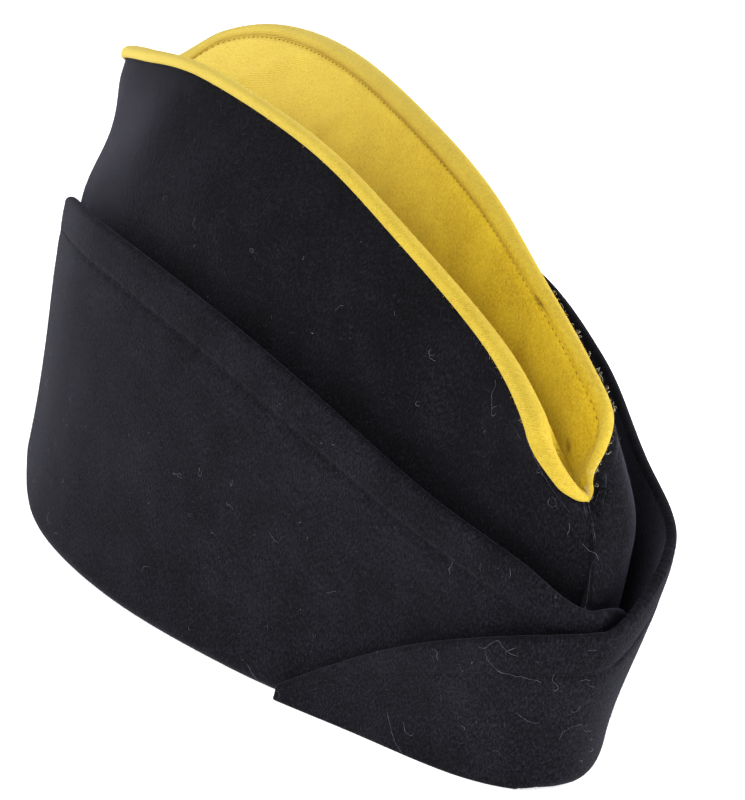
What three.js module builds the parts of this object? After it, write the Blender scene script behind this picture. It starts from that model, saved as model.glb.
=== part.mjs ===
// A cloth side cap, standing on its rim: two crown panels, a folded top gusset with rolled edges,
// and two turn-up flaps, of which the left one wraps round the front over the right one.
// Millimetres, +Z up. The wearer faces -Y and the wearer's right side is -X.
// The origin is on the table, under the middle of the cap.
import * as THREE from 'three';
import { mergeVertices } from 'three/addons/utils/BufferGeometryUtils.js';

// Driving sizes of the whole cap
const RIM_HALF_LENGTH = 131; // half of the opening, front to back
const RIM_ROUNDING = 1.04; // 1 is an ellipse's spacing, more crowds the rows towards the middle
const OUTWARD_TURN = 0.55; // how late the outward direction swings round to the front and back seams
const MIDDLE = new THREE.Vector3(0, 9.8, 0); // moves the box of the cap over the origin

// Cloth and clearances
const CROWN_CLOTH = 2.0;
const FLAP_CLOTH = 2.6; // doubled wool
const GUSSET_CLOTH = 1.2;
const SEAM_GAP = 0.15; // each side's half of the gap at a seam
const LAYER_GAP = 0.5; // between the crown and the flap at the rim
const OVERLAP_GAP = 0.4; // between the two flaps where they overlap

// Crown wall, as shares of the height from the rim to the ridge
const WALL_TOP = 0.9; // where the wall hands over to the rolled edge
const EDGE_ROW = 0.92; // the row that gives the rolled edge its downward direction
const BELLY_SCALE = 27 / 4; // makes v * v * (1 - v) peak at 1

// Rim fold: each flap turns under the crown's lower edge
const FOLD_THICKNESS = 2.4;
const FOLD_REACH = 2.6; // how far the fold reaches inside the crown's outer face
const CROWN_FOOT = 2.8; // height of the crown's lower edge
const FOLD_ENDS = [0.84, 0.93]; // along a side, where the fold runs out before the front seam

// Underside of the fold, from the outer face to the inner end: across is the share of the way out from
// the inner end, rise the share of the fold's thickness.
const FOLD_UNDERSIDE = [
  { across: 0.95, rise: 0.45 },
  { across: 0.78, rise: 0.04 },
  { across: 0.62, rise: 0 },
  { across: 0.2, rise: 0 },
  { across: 0.05, rise: 0.15 },
  { across: 0, rise: 0.5 },
];
const FOLD_LIP = 0.1; // share of the fold's width that its upper face is set back at the inner end
const FOLD_SEAT_GAP = 0.2;

// Top edge of a flap, rounded over from its inner to its outer face
const FLAP_EDGE = [
  { across: 0.35, drop: 0 },
  { across: 0.75, drop: 0.2 },
];
const FLAP_EDGE_DEPTH = 0.9; // where the rounding starts
const STAND_POWER = 2; // how late the gap behind a flap opens towards its top edge

// Overlap at the front: each flap runs past the front seam and down to the rim
const LEFT_WRAP_STEPS = 11; // stations along the right side that the left flap covers
const RIGHT_WRAP_STEPS = 8; // stations along the left side that the right flap reaches, hidden
const LEFT_FALL = 2.35; // power of the left edge's fall from the front seam to the rim
const RIGHT_FALL = 1.4;
const WRAP_TIP = 4.2; // height of a flap's blunt end
const FRONT_EASE = 1.1; // how much further out the left flap's foot lies at the front seam
const FRONT_SPREAD = [0.8, 0.95]; // along the left side, where it comes out
const FRONT_LIFT = 1.4; // how far the flaps' lower edges lift there
const FRONT_RISE = [0.93, 1]; // along a side, where they rise
const FRONT_WRAP = [0, 0.4]; // share of the left flap's wrap over which both run out
const SPREAD = [0.5, 0.74]; // along the left side, where the left flap moves out over the right one
const RIGHT_TUCK = 1 / 3; // share of the right flap's wrap over which its edge closes on the crown
const RIGHT_LIFT = [0.94, 1]; // along the left side, where the right flap rises clear of the left one's fold

// Top gusset: a V fold, its edges rolled over the crown panels' top edges
const ROLL_DEPTH = 4.2; // how far the roll comes down outside
const ROLL_SHOULDER = 2.0; // depth where the roll's sides run straight
const ROLL_CREST = 0.6; // depth halfway round its top
const ROLL_GAP = 0.45;
const ROLL_SKIN = 1.3; // cloth over the panel's top edge
const PANEL_TOP = 1.9; // how far the panel's edge stays below the roll's top
const COLLAR_DEPTHS = [4.6, 3.1, PANEL_TOP]; // rows of the panel inside the roll
const TIP_VALLEY = 3.2; // depth of the fold at its two tips
const FOLD_WALL_ROWS = [0.3, 0.6, 0.85]; // from the roll to the valley
const CENTRE_KEEP = 0.3; // share of the ridge's distance from the fold's middle that its roll keeps
const LEAN_POWER = 4; // keeps the front tip's lean close to the ridge
const LEAN_MIDDLE = [0.86, 1]; // along a side, where the fold's middle follows that lean

// A row for each section along a side, evenly spaced from the back seam to the front seam.
// rightDrop lowers the right ridge, lean moves both ridges to the wearer's right, belly swells the wall,
// bellyLeft swells the left one further, waist draws it in above the flap, and standRight and standLeft
// are the gaps behind the flaps' top edges.
const SECTIONS = [
  { rimX: 0, ridgeX: 0, ridgeY: 105, ridgeZ: 111.5, rightDrop: 0, lean: 0, belly: 1.5, bellyLeft: 0,
    waist: 3.5, flapRight: 60.5, flapLeft: 62, standRight: 0.7, standLeft: 0.7, valley: TIP_VALLEY },
  { rimX: 24, ridgeX: 14, ridgeY: 94.5, ridgeZ: 122, rightDrop: 2.8, lean: 0, belly: 3.5, bellyLeft: 0,
    waist: 3.5, flapRight: 71.5, flapLeft: 74.5, standRight: 1.4, standLeft: 1, valley: 20 },
  { rimX: 40, ridgeX: 20, ridgeY: 67.5, ridgeZ: 129.5, rightDrop: 3.7, lean: 0, belly: 5.7, bellyLeft: 0,
    waist: 3.2, flapRight: 82.5, flapLeft: 84.5, standRight: 2.1, standLeft: 2.2, valley: 36 },
  { rimX: 53.5, ridgeX: 20, ridgeY: 27, ridgeZ: 131.5, rightDrop: 0.6, lean: 0, belly: 10.3, bellyLeft: 0,
    waist: 0.5, flapRight: 89, flapLeft: 87.5, standRight: 2.4, standLeft: 5, valley: 44 },
  { rimX: 53.5, ridgeX: 15, ridgeY: -29, ridgeZ: 127.5, rightDrop: 0.9, lean: 0.5, belly: 13, bellyLeft: 0,
    waist: 0, flapRight: 88, flapLeft: 86, standRight: 2.5, standLeft: 8.3, valley: 44 },
  { rimX: 42.8, ridgeX: 11.7, ridgeY: -73, ridgeZ: 119, rightDrop: 3.3, lean: 0.7, belly: 11, bellyLeft: 0,
    waist: 0.5, flapRight: 80, flapLeft: 79, standRight: 3, standLeft: 9.1, valley: 40 },
  { rimX: 26, ridgeX: 8.6, ridgeY: -110, ridgeZ: 105, rightDrop: 2.6, lean: 0.2, belly: 8.4, bellyLeft: 0.8,
    waist: 1.5, flapRight: 68, flapLeft: 70, standRight: 3.5, standLeft: 8, valley: 28 },
  { rimX: 13.5, ridgeX: 7.2, ridgeY: -135, ridgeZ: 92.5, rightDrop: 1, lean: 3.2, belly: 6.7, bellyLeft: 2.3,
    waist: 2, flapRight: 60.5, flapLeft: 62, standRight: 2.9, standLeft: 8, valley: 16 },
  { rimX: 0, ridgeX: 0, ridgeY: -141, ridgeZ: 75.5, rightDrop: 0, lean: 1.2, belly: 7.7, bellyLeft: 0,
    waist: 0, flapRight: 49.5, flapLeft: 45.5, standRight: 2.7, standLeft: 6.4, valley: TIP_VALLEY },
];
const CROSSES_CENTRE = new Set(['rimX', 'ridgeX']); // these columns change sign at the seams

// Fineness of the solids
const STATIONS = 34; // steps along each side
const WALL_ROWS = 8;
const FLAP_ROWS = 7;
const SLOPE_STEP = 0.004; // step along a side for the direction of the ridge

const RIGHT = -1; // the wearer's right, at -X
const LEFT = 1;

const { lerp, smoothstep } = THREE.MathUtils;

// Smooth value of one column at t, 0 at the back seam and 1 at the front seam, mirrored past each seam.
function column(name, t) {
  const last = SECTIONS.length - 1;
  const sign = CROSSES_CENTRE.has(name) ? -1 : 1;
  const at = (i) => {
    if (i < 0) return sign * SECTIONS[-i][name];
    if (i > last) return sign * SECTIONS[2 * last - i][name];
    return SECTIONS[i][name];
  };
  const row = Math.min(Math.floor(t * last), last - 1);
  const f = t * last - row;
  const [a, b, c, d] = [at(row - 1), at(row), at(row + 1), at(row + 2)];
  const slopeB = (c - a) / 2;
  const slopeC = (d - b) / 2;
  const square = 3 * (c - b) - 2 * slopeB - slopeC;
  const cube = 2 * (b - c) + slopeB + slopeC;
  return b + slopeB * f + square * f ** 2 + cube * f ** 3;
}

// The next functions give points of either side as if it lay at +X, and placed() puts them on their side.
// Level direction away from the cap at t.
function outward(t) {
  const angle = Math.PI * (0.5 - t);
  return new THREE.Vector3(Math.cos(angle), OUTWARD_TURN * Math.sin(angle), 0).normalize();
}

function rimPoint(t) {
  const s = Math.sin(Math.PI * (0.5 - t));
  const y = RIM_HALF_LENGTH * Math.sign(s) * Math.abs(s) ** RIM_ROUNDING;
  return new THREE.Vector3(column('rimX', t), y, 0);
}

const ridgeHeight = (side, t) => column('ridgeZ', t) - (side === RIGHT ? column('rightDrop', t) : 0);

// The ridges' shift to the wearer's right, as seen from one side.
const leanAt = (side, t) => -side * column('lean', t);

// Where the middle of the top fold lies, as seen from one side.
const foldMiddle = (side, t) => leanAt(side, t) * smoothstep(t, ...LEAN_MIDDLE);

function ridgePoint(side, t) {
  return new THREE.Vector3(column('ridgeX', t) + leanAt(side, t), column('ridgeY', t), ridgeHeight(side, t));
}

// Crown's outer face: v is 0 at the rim and 1 at the ridge, offset is outwards.
function wallPoint(side, t, v, offset = 0) {
  const flapV = column('flapRight', t) / ridgeHeight(side, t);
  const belly = column('belly', t) + (side === LEFT ? column('bellyLeft', t) : 0);
  const swell = belly * BELLY_SCALE * v * v * (1 - v);
  const above = Math.max(0, (v - flapV) / (1 - flapV));
  const drawIn = column('waist', t) * Math.sin(Math.PI * Math.min(1, above)) ** 2;
  const point = rimPoint(t).lerp(ridgePoint(side, t), v);
  point.x += leanAt(side, t) * (v ** LEAN_POWER - v);
  return point.addScaledVector(outward(t), swell - drawIn + offset);
}

// Frame of the rolled edge at t: the ridge, the direction out of the wall and the direction down it.
function edgeFrame(side, t) {
  const ridge = ridgePoint(side, t);
  const ahead = ridgePoint(side, Math.min(1, t + SLOPE_STEP));
  const behind = ridgePoint(side, Math.max(0, t - SLOPE_STEP));
  const along = ahead.sub(behind).normalize();
  if (t < SLOPE_STEP || t > 1 - SLOPE_STEP) along.set(1, 0, 0);
  const down = wallPoint(side, t, EDGE_ROW).sub(ridge);
  down.addScaledVector(along, -down.dot(along)).normalize();
  const out = new THREE.Vector3().crossVectors(along, down).normalize();
  if (out.dot(outward(t)) < 0) out.negate();
  return { ridge, out, down, keep: lerp(foldMiddle(side, t), ridge.x, CENTRE_KEEP) };
}

// Point of the rolled edge: offset out of the wall, depth down it, never across the fold's middle.
function edgePoint(frame, offset, depth) {
  const point = frame.ridge.clone().addScaledVector(frame.out, offset).addScaledVector(frame.down, depth);
  point.x = Math.max(point.x, frame.keep);
  return point;
}

const evenly = (count) => Array.from({ length: count + 1 }, (_, i) => i / count);
const placed = (side, point) => new THREE.Vector3(side * point.x, point.y, point.z);

// Flat faces over an end loop of a solid, turned to look out of it.
function endCap(loop, outline, isFirst) {
  const faces = THREE.ShapeUtils.triangulateShape(outline, []);
  const flip = THREE.ShapeUtils.isClockWise(outline) !== isFirst;
  return faces.map(([a, b, c]) => (flip ? [loop[a], loop[c], loop[b]] : [loop[a], loop[b], loop[c]]));
}

// Closed solid through a row of loops with equal numbers of points. outlines, where given, are the flat
// shapes of the first and last loop, which are then capped. Without them the ends close on themselves.
function loft(loops, outlines) {
  const count = loops[0].length;
  const triangles = [];
  for (let i = 0; i + 1 < loops.length; i += 1) {
    for (let j = 0; j < count; j += 1) {
      const k = (j + 1) % count;
      const [a, b, c, d] = [loops[i][j], loops[i][k], loops[i + 1][k], loops[i + 1][j]];
      triangles.push([a, b, c], [a, c, d]);
    }
  }
  if (outlines) {
    triangles.push(...endCap(loops[0], outlines[0], true));
    triangles.push(...endCap(loops[loops.length - 1], outlines[1], false));
  }
  const cross = new THREE.Vector3();
  const volume = triangles.reduce((sum, [a, b, c]) => sum + a.dot(cross.crossVectors(b, c)), 0);
  const facing = volume > 0 ? triangles : triangles.map(([a, b, c]) => [a, c, b]);
  const geometry = new THREE.BufferGeometry().setFromPoints(facing.flat());
  const solid = mergeVertices(geometry, 1e-4);
  solid.computeVertexNormals();
  return solid;
}

// One crown panel, from the foot to just under the roll's top.
function crownPanel(side) {
  const seamGap = new THREE.Vector3(SEAM_GAP, 0, 0);
  const loops = evenly(STATIONS).map((t) => {
    const frame = edgeFrame(side, t);
    const foot = CROWN_FOOT / ridgeHeight(side, t);
    const rows = evenly(WALL_ROWS - 1).map((f) => lerp(foot, WALL_TOP, f));
    const face = (offset) => [
      ...rows.map((v) => wallPoint(side, t, v, offset)),
      ...COLLAR_DEPTHS.map((depth) => edgePoint(frame, offset, depth)),
    ];
    const loop = [...face(0), ...face(-CROWN_CLOTH).reverse()];
    return loop.map((point) => placed(side, point.add(seamGap)));
  });
  const flat = loops.map((loop) => loop.map((point) => new THREE.Vector2(point.y, point.z)));
  return loft(loops, [flat[0], flat[flat.length - 1]]);
}

// Section of a flap as pairs of offset and height, from the fold's inner end round the wall and back.
// fold is 1 where the flap turns under the crown and 0 where it ends at its own lower edge.
function flapSection({ gapFoot, gapTop, bottom, top, fold }) {
  const seat = bottom + FOLD_THICKNESS;
  const gap = (z) => lerp(gapFoot, gapTop, Math.max(0, (z - seat) / (top - seat)) ** STAND_POWER);
  const heights = evenly(FLAP_ROWS - 1).map((f) => lerp(seat, top - FLAP_EDGE_DEPTH, f));
  const inner = lerp(gapFoot, -FOLD_REACH, fold);
  const width = gapFoot + FLAP_CLOTH - inner;
  return [
    [inner + FOLD_LIP * width * fold, seat - FOLD_SEAT_GAP],
    ...heights.map((z) => [gap(z), z]),
    ...FLAP_EDGE.map(({ across, drop }) => [gap(top) + across * FLAP_CLOTH, top - drop]),
    ...heights.reverse().map((z) => [gap(z) + FLAP_CLOTH, z]),
    ...FOLD_UNDERSIDE.map(({ across, rise }) => [inner + across * width, bottom + rise * FOLD_THICKNESS]),
  ];
}

const foldAt = (t) => 1 - smoothstep(t, ...FOLD_ENDS);
const frontLift = (t) => FRONT_LIFT * smoothstep(t, ...FRONT_RISE);
const wrapHeight = (frontHeight, u, fall) => lerp(WRAP_TIP, frontHeight, 1 - u ** fall);

// Right flap on its own side of the cap.
function rightOwnSection(t) {
  return flapSection({
    gapFoot: LAYER_GAP,
    gapTop: column('standRight', t),
    bottom: frontLift(t),
    top: column('flapRight', t),
    fold: foldAt(t),
  });
}

// Right flap past the front seam, between the crown and the left flap.
function rightWrapSection(t, u) {
  return flapSection({
    gapFoot: LAYER_GAP,
    gapTop: lerp(column('standRight', 1), LAYER_GAP, Math.min(1, u / RIGHT_TUCK)),
    bottom: lerp(CROWN_FOOT, FRONT_LIFT, smoothstep(t, ...RIGHT_LIFT)),
    top: CROWN_FOOT + wrapHeight(column('flapRight', 1) - CROWN_FOOT, u, RIGHT_FALL),
    fold: 0,
  });
}

const outsideRight = LAYER_GAP + FLAP_CLOTH + OVERLAP_GAP; // left flap's gap where it lies on the right one

// Left flap on its own side of the cap.
function leftOwnSection(t) {
  const front = FRONT_EASE * smoothstep(t, ...FRONT_SPREAD);
  return flapSection({
    gapFoot: lerp(LAYER_GAP, outsideRight, smoothstep(t, ...SPREAD)) + front,
    gapTop: column('standLeft', t),
    bottom: frontLift(t),
    top: column('flapLeft', t),
    fold: foldAt(t),
  });
}

// Left flap past the front seam, outside the right flap.
function leftWrapSection(t, u) {
  const front = 1 - smoothstep(u, ...FRONT_WRAP);
  return flapSection({
    gapFoot: outsideRight + FRONT_EASE * front,
    gapTop: lerp(column('standLeft', 1), outsideRight + OVERLAP_GAP, u),
    bottom: FRONT_LIFT * front,
    top: wrapHeight(column('flapLeft', 1), u, LEFT_FALL),
    fold: 0,
  });
}

// A flap that starts at the back seam and runs past the front seam for some stations of the other side.
function flap(ownSide, ownSection, wrapSection, wrapSteps) {
  const loops = [];
  const outlines = [];
  const place = (side, t, section) => {
    loops.push(section.map(([offset, z]) => {
      const point = wallPoint(side, t, z / ridgeHeight(side, t), offset);
      point.x += SEAM_GAP * (1 - t);
      return placed(side, point);
    }));
    outlines.push(section.map(([offset, z]) => new THREE.Vector2(offset, z)));
  };
  for (const t of evenly(STATIONS)) place(ownSide, t, ownSection(t));
  for (let step = 1; step <= wrapSteps; step += 1) {
    const t = 1 - step / STATIONS;
    place(-ownSide, t, wrapSection(t, step / wrapSteps));
  }
  return loft(loops, [outlines[0], outlines[outlines.length - 1]]);
}

// Half of the gusset's section at t, from the roll's outer foot to the valley and back under it.
function gussetHalf(side, t) {
  const outside = ROLL_GAP + GUSSET_CLOTH;
  const inside = -CROWN_CLOTH - ROLL_GAP; // face of the fold that looks at the panel
  const foldFace = inside - GUSSET_CLOTH;
  const frame = edgeFrame(side, t);
  const edge = (offset, depth) => edgePoint(frame, offset, depth);
  const valleyY = edge(foldFace - GUSSET_CLOTH / 2, 0).y;
  const valleyZ = column('ridgeZ', t) - column('valley', t);
  const middle = foldMiddle(side, t);
  const valleyTop = new THREE.Vector3(middle, valleyY, valleyZ);
  const underY = lerp(valleyY, edge(inside, 0).y, 0.5);
  const valleyUnder = new THREE.Vector3(middle, underY, valleyZ - 1.5 * GUSSET_CLOTH);
  const foldStart = edge(foldFace, ROLL_SHOULDER);
  const underStart = edge(inside, ROLL_SHOULDER);
  const upper = [
    edge(outside, ROLL_DEPTH),
    edge(outside, ROLL_SHOULDER),
    edge(0.7 * outside, ROLL_CREST),
    edge(0, 0),
    edge(-CROWN_CLOTH, 0),
    edge(0.85 * foldFace, ROLL_CREST),
    foldStart,
    ...FOLD_WALL_ROWS.map((f) => foldStart.clone().lerp(valleyTop, f)),
  ];
  const under = [
    ...FOLD_WALL_ROWS.map((f) => underStart.clone().lerp(valleyUnder, f)).reverse(),
    underStart,
    edge(0.9 * inside, ROLL_SKIN),
    edge(0.4 * ROLL_GAP, ROLL_SKIN),
    edge(ROLL_GAP, ROLL_SHOULDER),
    edge(ROLL_GAP, ROLL_DEPTH),
  ];
  const onSide = (points) => points.map((point) => placed(side, point));
  const [top, beneath] = onSide([valleyTop, valleyUnder]);
  return { upper: onSide(upper), under: onSide(under), valleyTop: top, valleyUnder: beneath };
}

// The top gusset: both rolled edges, and the V fold that hangs between them.
function topGusset() {
  const loops = evenly(STATIONS).map((t) => {
    const right = gussetHalf(RIGHT, t);
    const left = gussetHalf(LEFT, t);
    const valleyTop = right.valleyTop.lerp(left.valleyTop, 0.5);
    const valleyUnder = right.valleyUnder.lerp(left.valleyUnder, 0.5);
    return [
      ...right.upper, valleyTop, ...left.upper.reverse(),
      ...left.under.reverse(), valleyUnder, ...right.under,
    ];
  });
  return loft(loops);
}

const navyWool = { color: '#1d1e27', roughness: 0.95, metalness: 0 };
const yellowWool = { color: '#d9b931', roughness: 0.92, metalness: 0 };

function piece(name, geometry, cloth) {
  const mesh = new THREE.Mesh(geometry, new THREE.MeshStandardMaterial(cloth));
  mesh.name = name;
  return mesh;
}

const cap = new THREE.Group();
cap.add(
  piece('crown_right', crownPanel(RIGHT), navyWool),
  piece('crown_left', crownPanel(LEFT), navyWool),
  piece('top_gusset', topGusset(), yellowWool),
  piece('flap_right', flap(RIGHT, rightOwnSection, rightWrapSection, RIGHT_WRAP_STEPS), navyWool),
  piece('flap_left', flap(LEFT, leftOwnSection, leftWrapSection, LEFT_WRAP_STEPS), navyWool),
);
cap.position.copy(MIDDLE);

export default cap;
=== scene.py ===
# A cloth side cap: two navy wool crown panels, a yellow top gusset and two turn-up flaps,
# with their stitching, nap and lint. Shapes are worked out in millimetres, +Z up, front at -Y.
import math

import bpy
import numpy as np
from mathutils import Matrix, Vector


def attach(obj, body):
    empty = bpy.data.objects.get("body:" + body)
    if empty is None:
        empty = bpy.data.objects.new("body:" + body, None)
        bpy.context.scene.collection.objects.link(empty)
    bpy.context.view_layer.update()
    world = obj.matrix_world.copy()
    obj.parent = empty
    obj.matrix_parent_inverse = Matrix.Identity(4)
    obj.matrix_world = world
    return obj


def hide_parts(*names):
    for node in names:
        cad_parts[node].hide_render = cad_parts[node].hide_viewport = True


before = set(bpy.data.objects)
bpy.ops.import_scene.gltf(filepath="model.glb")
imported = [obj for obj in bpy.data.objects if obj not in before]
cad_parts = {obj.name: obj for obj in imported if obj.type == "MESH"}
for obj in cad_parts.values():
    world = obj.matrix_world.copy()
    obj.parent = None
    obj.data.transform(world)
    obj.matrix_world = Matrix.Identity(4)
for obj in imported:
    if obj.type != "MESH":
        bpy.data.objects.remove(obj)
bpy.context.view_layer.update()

MM = 0.001
RIGHT = -1  # the wearer's right, at -X
LEFT = 1
MIDDLE = np.array([0.0, 9.8, 0.0])  # moves the cap's box over the origin

# Places along a side run from 0 at the back seam to 1 at the front seam, and up a wall from 0 at the rim to 1
# at the ridge. A pair of places is where a change begins and where it is complete.

# Driving sizes of the whole cap
RIM_HALF_LENGTH = 131
RIM_ROUNDING = 1.04  # power that rounds the rim's ends
OUTWARD_TURN = 0.55  # how far the way out turns to the front and back
BELLY_SCALE = 27 / 4  # makes a belly's greatest swell its own size
EDGE_ROW = 0.92  # up the wall, where the slope of its top edge is taken
SLOPE_STEP = 0.004  # between the places that give a slope
CENTRE_KEEP = 0.3  # share of the ridge's half width that stays clear at the fold's middle
LEFT_DRAW = ((0.69, 0.07, -1.3), (0.87, 0.045, 1.6), (0.945, 0.032, -2.0))  # left ridge: place, width, draw
TIP_TURN = (0.965, 0.998)  # where the rolled edge turns round the front tip
LEAN_POWER = 4  # keeps the front tip's lean close to the ridge
LEAN_MIDDLE = (0.86, 1.0)  # where the fold's middle follows that lean
WAVE_LENGTHS = (34, 47, 61, 90)  # of the cloth's slow unevenness

# Sections along a side, evenly spaced from the back seam to the front seam
SECTIONS = {
    "rim_x": (0, 24, 40, 53.5, 53.5, 42.8, 26, 13.5, 0),
    "ridge_x": (0, 14, 20, 20, 15, 11.7, 8.6, 7.2, 0),
    "ridge_y": (105, 94.5, 67.5, 27, -29, -73, -110, -135, -141),
    "ridge_z": (111.5, 122, 129.5, 131.5, 127.5, 119, 105, 92.5, 75.5),
    "right_drop": (0, 2.8, 3.7, 0.6, 0.9, 3.3, 2.6, 1, 0),
    "lean": (0, 0, 0, 0, 0.5, 0.7, 0.2, 3.2, 1.2),
    "belly": (1.5, 3.5, 5.7, 10.3, 13, 11, 8.4, 6.7, 7.7),
    "belly_left": (0, 0, 0, 0, 0, 0, 0.8, 2.3, 0),
    "waist": (3.5, 3.5, 3.2, 0.5, 0, 0.5, 1.5, 2, 0),
    "flap_right": (60.5, 71.5, 82.5, 89, 88, 80, 68, 60.5, 49.5),
    "flap_left": (62, 74.5, 84.5, 87.5, 86, 79, 70, 62, 45.5),
    "stand_right": (0.7, 1.4, 2.1, 2.4, 2.5, 3, 3.5, 2.9, 2.7),
    "stand_left": (0.7, 1, 2.2, 5, 8.3, 9.1, 8, 8, 6.4),
    "valley": (3.2, 20, 36, 44, 44, 40, 28, 16, 3.2),
}
CROSSES_CENTRE = ("rim_x", "ridge_x")

# Cloth and its layers
CROWN_CLOTH = 2.0
FLAP_CLOTH = 2.6
GUSSET_CLOTH = 1.2
SEAM_GAP = 0.02
LAYER_GAP = 0.5  # from the crown to a flap
OVERLAP_GAP = 0.4  # from one flap to the other
OUTSIDE_RIGHT = LAYER_GAP + FLAP_CLOTH + OVERLAP_GAP
SEAM_ROUNDING = 0.15
END_ROUNDING = 1.0
WELD = 0.002  # closer points of a sheet are one

# Crown
CROWN_FOOT = 2.8
CROWN_WAVES = 0.45
CROWN_FREE = (-8, 6)  # heights over the flap's edge where the cloth comes free
CROWN_HELD = (0.88, 0.96)  # up the wall, where the gusset holds it
THIN_EDGE = (0.9, 0.96)  # up the wall, where it thins to its top edge
EDGE_BEND = (0.9, 0.97)  # up the wall, where it follows the rolled edge
FLAP_PRESS = 3.2  # how far the right flap's edge presses it in
PRESS_PLACE = (-2, 9)  # middle and width of that over the flap's edge
PRESS_START = (0.2, 0.6)
# Dents and swells: the panels that have one, its middle and width along the side and up the wall, and how
# far it stands out
CROWN_DENTS = (
    ((RIGHT, LEFT), (0, 0.09), (0.915, 0.03), 1.5),
    ((RIGHT, LEFT), (0, 0.09), (0.74, 0.07), -0.8),
    ((RIGHT,), (0.87, 0.05), (0.8, 0.08), -1.0),
    ((LEFT,), (0.9, 0.07), (0.8, 0.12), 1.5),
)

# Rim fold and flaps
FOLD_REACH = 2.6  # how far a flap's cloth runs on under the rim
FOLD_RADIUS = 2.4
FOLD_ENDS = (0.84, 0.93)  # where that fold runs out
STAND_POWER = 2.0  # keeps a flap's stand off the crown close to its upper edge
LEFT_WRAP = 11 / 34  # share of the right side that the left flap covers
RIGHT_WRAP = 8 / 34
LEFT_FALL = 2.5  # how the left flap's edge falls along its wrap
RIGHT_FALL = 2.2  # and the right one's, under it
WRAP_TIP = 4.2  # height of a wrap where it runs out
WRAP_STAND = 1.0  # gap under the left wrap's upper edge there
WRAP_SWELL = 2.2  # how much further off it stands halfway
FRONT_EASE = 1.1  # how much further out the left flap's foot lies at the front seam
FRONT_SPREAD = (0.8, 0.95)
FRONT_LIFT = 0.6  # how far its lower edge lifts there
FRONT_CLEAR = 6.0  # and the right flap's, inside it
FRONT_RISE = (0.93, 1.0)
FRONT_WRAP = (0, 0.4)  # along the wrap, where ease and lift run out
FRONT_TURN = 0.6  # share of the rim fold that it keeps at the front
TURN_END = (0.03, 0.2)  # along the wrap, where that runs out
FRONT_TUCK = 1.8  # how far its foot is drawn in beside the front seam
TUCK_RISE = 8  # over this height
TUCK_PLACE = (0.915, 0.05)  # middle and width of that
SPREAD = (0.5, 0.74)  # where it comes to lie outside the right one
RIGHT_TUCK = 1 / 3  # along its wrap, where the right flap lies close
RIGHT_LIFT = (0.94, 1.0)  # where the lower edge of its wrap lifts
FLAP_WAVES = 0.3
UPRIGHT_STEPS = 180
TURN_STEPS = 24
UNDER_STEPS = 16
SHORT_FLAP = 40  # shorter sections have their rows drawn together

# Topstitching along a flap's edge
HEM_DEPTH = 10.5
HEM_RELIEF = ((0, 0.8, -0.28), (-5.4, 3.2, 0.2), (3.2, 1.8, 0.1))  # distance below it, width, stand
HEM_PUCKER = 0.07
PUCKER_WIDTH = 2.2
PUCKER_LENGTH = 6.4
HEM_FADE = 4.0  # from the cloth's edges to where the relief is full
HEM_SHOWN = {RIGHT: (0.6, 1.5), LEFT: (1.0, 1.0)}  # how strong it is at the back and at the front
HEM_START = (0.3, 0.5)

# Gusset's rolled edges
ROLL_FOOT = 3.6  # how deep a roll comes down outside the crown
ROLL_FRONT = 1.3  # how much deeper the right one is near the front
ROLL_DEEPER = (0.8, 0.92)
ROLL_TIP = 2.4  # how deep both rolls are at the very tip
ROLL_SHALLOWER = {RIGHT: (0.95, 1), LEFT: (0.84, 0.94)}
ROLL_LIP = 2.4  # how far the right roll swells into the fold near the front
LIP_PLACE = (0.94, 0.045)
ROLL_SHOULDER = 2.0
ROLL_GAP = 0.45
ROLL_TUCK = 0.35  # how far a roll's foot is drawn to the crown
PANEL_TOP = 1.9  # from the ridge down to the crown's top edge
TIGHT_ROLL = (0.55, 0.75)  # where the left roll is drawn tight
TIGHT_GAP = 0.12
TIGHT_EDGE = 0.8  # thickness of the crown's edge there

# Gusset's topstitching and fold, measured down from where a roll ends. Pairs for the left side give the back
# and then the front, where its roll is tight.
GUSSET_STITCH = 0.92
GROOVE_WIDTH = 0.7
RIGHT_GROOVE = 0.22
LEFT_GROOVE = (0.5, 0.15)
LEFT_SWELL = (0.3, 0)  # how far the roll swells over its stitches
SWELL_PLACE = (-1.4, 1.2)
LEFT_ROLL_SHADE = (0.3, 0.08)  # how dark the painted shade under its roll is, over the stitches and their groove
ROLL_SHADE_PLACE = (-0.5, 1.1)
WALL_SWELL = 0.12  # below the stitches
WALL_PLACE = (2.6, 1.6)
ROLL_SHEEN_ENDS = (-2.0, -0.2)  # where the painted sheen that greys the rolls ends
WALL_PILLOWS = 0.35  # soft unevenness of the left wall
PILLOW_START = (3, 12)
PILLOW_SCALE = (1.8, 2.2)  # how much shorter than the slow waves, along and down
WALL_APART = 0.05  # from the fold's middle to its walls
SHORT_WALL = 12  # shorter walls have their rows drawn together

# Marks on the fold's left wall, as lines between two places: millimetres along the cap and down the wall,
# how wide each is, how far it stands out of the cloth, and how dark it is
WALL_MARKS = (
    ((219.5, 0.9), (223, 0.4), 0.55, -0.4, 0.75),
    ((223, 0.4), (227, 0.2), 0.5, -0.2, 0.25),
    # a painted shadow: the dark dot in the fold's valley, where the right roll meets this wall
    ((250.5, 14.2), (251.5, 14.4), 0.9, -0.4, 0.7),
    ((40, 15), (64, 4.5), 3.0, 0.8, 0),
    ((91, 16), (102, 8), 2.6, 0.8, 0),
)

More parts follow.
